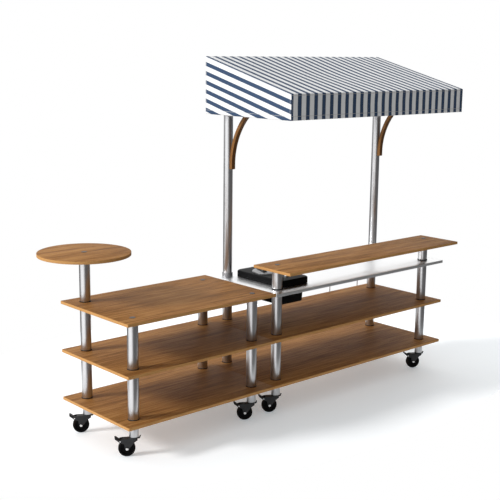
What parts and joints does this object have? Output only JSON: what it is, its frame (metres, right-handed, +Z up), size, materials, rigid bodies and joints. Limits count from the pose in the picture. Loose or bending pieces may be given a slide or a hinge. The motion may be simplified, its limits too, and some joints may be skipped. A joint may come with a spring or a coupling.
{
  "type": "push vending cart",
  "caption": "Wheeled push vending cart: open wood shelves on steel posts, round side table, counter, steel worktop with lidded food well, striped canopy on masts.",
  "frame": {"origin": "on the floor under the middle of the whole cart's box", "axes": "+X along the cart from the round table's end to the canopy's right end, +Y from the buyer's side to the seller's side, +Z up"},
  "size_m": [2.9509, 0.998, 2.258],
  "materials": {
    "board_wood": "warm brown veneer under a satin varnish, grain along the cart",
    "post_steel": "satin brushed tube",
    "ring_rubber": "matt black",
    "cap_steel": "turned face",
    "rod_steel": "bright drawn rod",
    "worktop_steel": "brushed sheet with a soft reflection",
    "core_board": "bare particle board",
    "well_casing": "satin dark grey",
    "lid_steel": "spun finish",
    "strap_black": "fine matt grain",
    "knob_chrome": "polished",
    "brace_wood": "bent laminated wood under varnish",
    "frame_metal": "bare extruded bar",
    "canopy_fabric": "white and slate blue stripes, coated awning cloth",
    "sleeve_steel": "satin brushed tube",
    "fork_metal": "dark grey powder coat, bright bolts",
    "wheel_tread": "solid black tread on a dark moulded centre",
    "pedal_black": "moulded, ribbed on top"
  },
  "bodies": {
    "cart": {"left_shelf_bottom": "board_wood", "left_shelf_middle": "board_wood", "left_shelf_top": "board_wood", "right_shelf_bottom": "board_wood", "right_shelf_middle": "board_wood", "left_post_front_left": "post_steel", "left_post_back_left": "post_steel", "left_post_front_right": "post_steel", "left_post_back_right": "post_steel", "right_post_front_left": "post_steel", "right_post_back_left": "post_steel", "right_post_front_right": "post_steel", "right_post_back_right": "post_steel", "post_rings": "ring_rubber", "post_caps": "cap_steel", "clamp_rods": "rod_steel", "round_table_top": "board_wood", "worktop": "worktop_steel", "worktop_core": "core_board", "back_support_rods": "rod_steel", "counter_board": "board_wood", "well_body": "well_casing", "well_rim": "well_casing", "well_pot": "lid_steel", "mast_left": "post_steel", "mast_right": "post_steel", "mast_sockets": "post_steel", "brace_left": "brace_wood", "brace_right": "brace_wood", "canopy_rails": "frame_metal", "canopy_bars": "frame_metal", "canopy_cover": "canopy_fabric", "caster_sleeves": "sleeve_steel"},
    "lid": {"well_lid": "lid_steel", "lid_strap": "strap_black"},
    "knob": {"control_knob": "knob_chrome"},
    "fork_1": {"fork_1": "fork_metal"},
    "wheel_1": {"wheel_1": "wheel_tread"},
    "pedal_1": {"pedal_1": "pedal_black"},
    "fork_2": {"fork_2": "fork_metal"},
    "wheel_2": {"wheel_2": "wheel_tread"},
    "pedal_2": {"pedal_2": "pedal_black"},
    "fork_3": {"fork_3": "fork_metal"},
    "wheel_3": {"wheel_3": "wheel_tread"},
    "pedal_3": {"pedal_3": "pedal_black"},
    "fork_4": {"fork_4": "fork_metal"},
    "wheel_4": {"wheel_4": "wheel_tread"},
    "pedal_4": {"pedal_4": "pedal_black"},
    "fork_5": {"fork_5": "fork_metal"},
    "wheel_5": {"wheel_5": "wheel_tread"},
    "pedal_5": {"pedal_5": "pedal_black"},
    "fork_6": {"fork_6": "fork_metal"},
    "wheel_6": {"wheel_6": "wheel_tread"},
    "pedal_6": {"pedal_6": "pedal_black"},
    "fork_7": {"fork_7": "fork_metal"},
    "wheel_7": {"wheel_7": "wheel_tread"},
    "pedal_7": {"pedal_7": "pedal_black"},
    "fork_8": {"fork_8": "fork_metal"},
    "wheel_8": {"wheel_8": "wheel_tread"},
    "pedal_8": {"pedal_8": "pedal_black"}
  },
  "joints": [
    {"name": "lid_lift", "type": "slide", "parent": "cart", "child": "lid", "axis": [0, 0, 1], "range_m": [0, 0.12]},
    {"name": "knob_turn", "type": "hinge", "parent": "cart", "child": "knob", "pos_m": [0.081, -0.173, 0.86], "axis": [0, 0, 1], "range_deg": [-270, 0]},
    {"name": "swivel_1", "type": "hinge", "parent": "cart", "child": "fork_1", "pos_m": [-1.1985, -0.261, 0.118], "axis": [0, 0, 1], "continuous": true},
    {"name": "roll_1", "type": "hinge", "parent": "fork_1", "child": "wheel_1", "pos_m": [-1.23346, -0.23958, 0.05], "axis": [-0.5225, -0.8526, 0], "continuous": true},
    {"name": "brake_1", "type": "hinge", "parent": "fork_1", "child": "pedal_1", "pos_m": [-1.26671, -0.2192, 0.095], "axis": [-0.5225, -0.8526, 0], "range_deg": [0, 22]},
    {"name": "swivel_2", "type": "hinge", "parent": "cart", "child": "fork_2", "pos_m": [-1.1985, 0.222, 0.118], "axis": [0, 0, 1], "continuous": true},
    {"name": "roll_2", "type": "hinge", "parent": "fork_2", "child": "wheel_2", "pos_m": [-1.23346, 0.24342, 0.05], "axis": [-0.5225, -0.8526, 0], "continuous": true},
    {"name": "brake_2", "type": "hinge", "parent": "fork_2", "child": "pedal_2", "pos_m": [-1.26671, 0.2638, 0.095], "axis": [-0.5225, -0.8526, 0], "range_deg": [0, 22]},
    {"name": "swivel_3", "type": "hinge", "parent": "cart", "child": "fork_3", "pos_m": [-0.2955, -0.261, 0.118], "axis": [0, 0, 1], "continuous": true},
    {"name": "roll_3", "type": "hinge", "parent": "fork_3", "child": "wheel_3", "pos_m": [-0.33046, -0.23958, 0.05], "axis": [-0.5225, -0.8526, 0], "continuous": true},
    {"name": "brake_3", "type": "hinge", "parent": "fork_3", "child": "pedal_3", "pos_m": [-0.36371, -0.2192, 0.095], "axis": [-0.5225, -0.8526, 0], "range_deg": [0, 22]},
    {"name": "swivel_4", "type": "hinge", "parent": "cart", "child": "fork_4", "pos_m": [-0.2955, 0.222, 0.118], "axis": [0, 0, 1], "continuous": true},
    {"name": "roll_4", "type": "hinge", "parent": "fork_4", "child": "wheel_4", "pos_m": [-0.33046, 0.24342, 0.05], "axis": [-0.5225, -0.8526, 0], "continuous": true},
    {"name": "brake_4", "type": "hinge", "parent": "fork_4", "child": "pedal_4", "pos_m": [-0.36371, 0.2638, 0.095], "axis": [-0.5225, -0.8526, 0], "range_deg": [0, 22]},
    {"name": "swivel_5", "type": "hinge", "parent": "cart", "child": "fork_5", "pos_m": [-0.0835, -0.261, 0.118], "axis": [0, 0, 1], "continuous": true},
    {"name": "roll_5", "type": "hinge", "parent": "fork_5", "child": "wheel_5", "pos_m": [-0.11846, -0.23958, 0.05], "axis": [-0.5225, -0.8526, 0], "continuous": true},
    {"name": "brake_5", "type": "hinge", "parent": "fork_5", "child": "pedal_5", "pos_m": [-0.15171, -0.2192, 0.095], "axis": [-0.5225, -0.8526, 0], "range_deg": [0, 22]},
    {"name": "swivel_6", "type": "hinge", "parent": "cart", "child": "fork_6", "pos_m": [-0.0835, 0.222, 0.118], "axis": [0, 0, 1], "continuous": true},
    {"name": "roll_6", "type": "hinge", "parent": "fork_6", "child": "wheel_6", "pos_m": [-0.11846, 0.24342, 0.05], "axis": [-0.5225, -0.8526, 0], "continuous": true},
    {"name": "brake_6", "type": "hinge", "parent": "fork_6", "child": "pedal_6", "pos_m": [-0.15171, 0.2638, 0.095], "axis": [-0.5225, -0.8526, 0], "range_deg": [0, 22]},
    {"name": "swivel_7", "type": "hinge", "parent": "cart", "child": "fork_7", "pos_m": [1.3695, -0.261, 0.118], "axis": [0, 0, 1], "continuous": true},
    {"name": "roll_7", "type": "hinge", "parent": "fork_7", "child": "wheel_7", "pos_m": [1.33454, -0.23958, 0.05], "axis": [-0.5225, -0.8526, 0], "continuous": true},
    {"name": "brake_7", "type": "hinge", "parent": "fork_7", "child": "pedal_7", "pos_m": [1.30129, -0.2192, 0.095], "axis": [-0.5225, -0.8526, 0], "range_deg": [0, 22]},
    {"name": "swivel_8", "type": "hinge", "parent": "cart", "child": "fork_8", "pos_m": [1.3695, 0.222, 0.118], "axis": [0, 0, 1], "continuous": true},
    {"name": "roll_8", "type": "hinge", "parent": "fork_8", "child": "wheel_8", "pos_m": [1.33454, 0.24342, 0.05], "axis": [-0.5225, -0.8526, 0], "continuous": true},
    {"name": "brake_8", "type": "hinge", "parent": "fork_8", "child": "pedal_8", "pos_m": [1.30129, 0.2638, 0.095], "axis": [-0.5225, -0.8526, 0], "range_deg": [0, 22]}
  ]
}
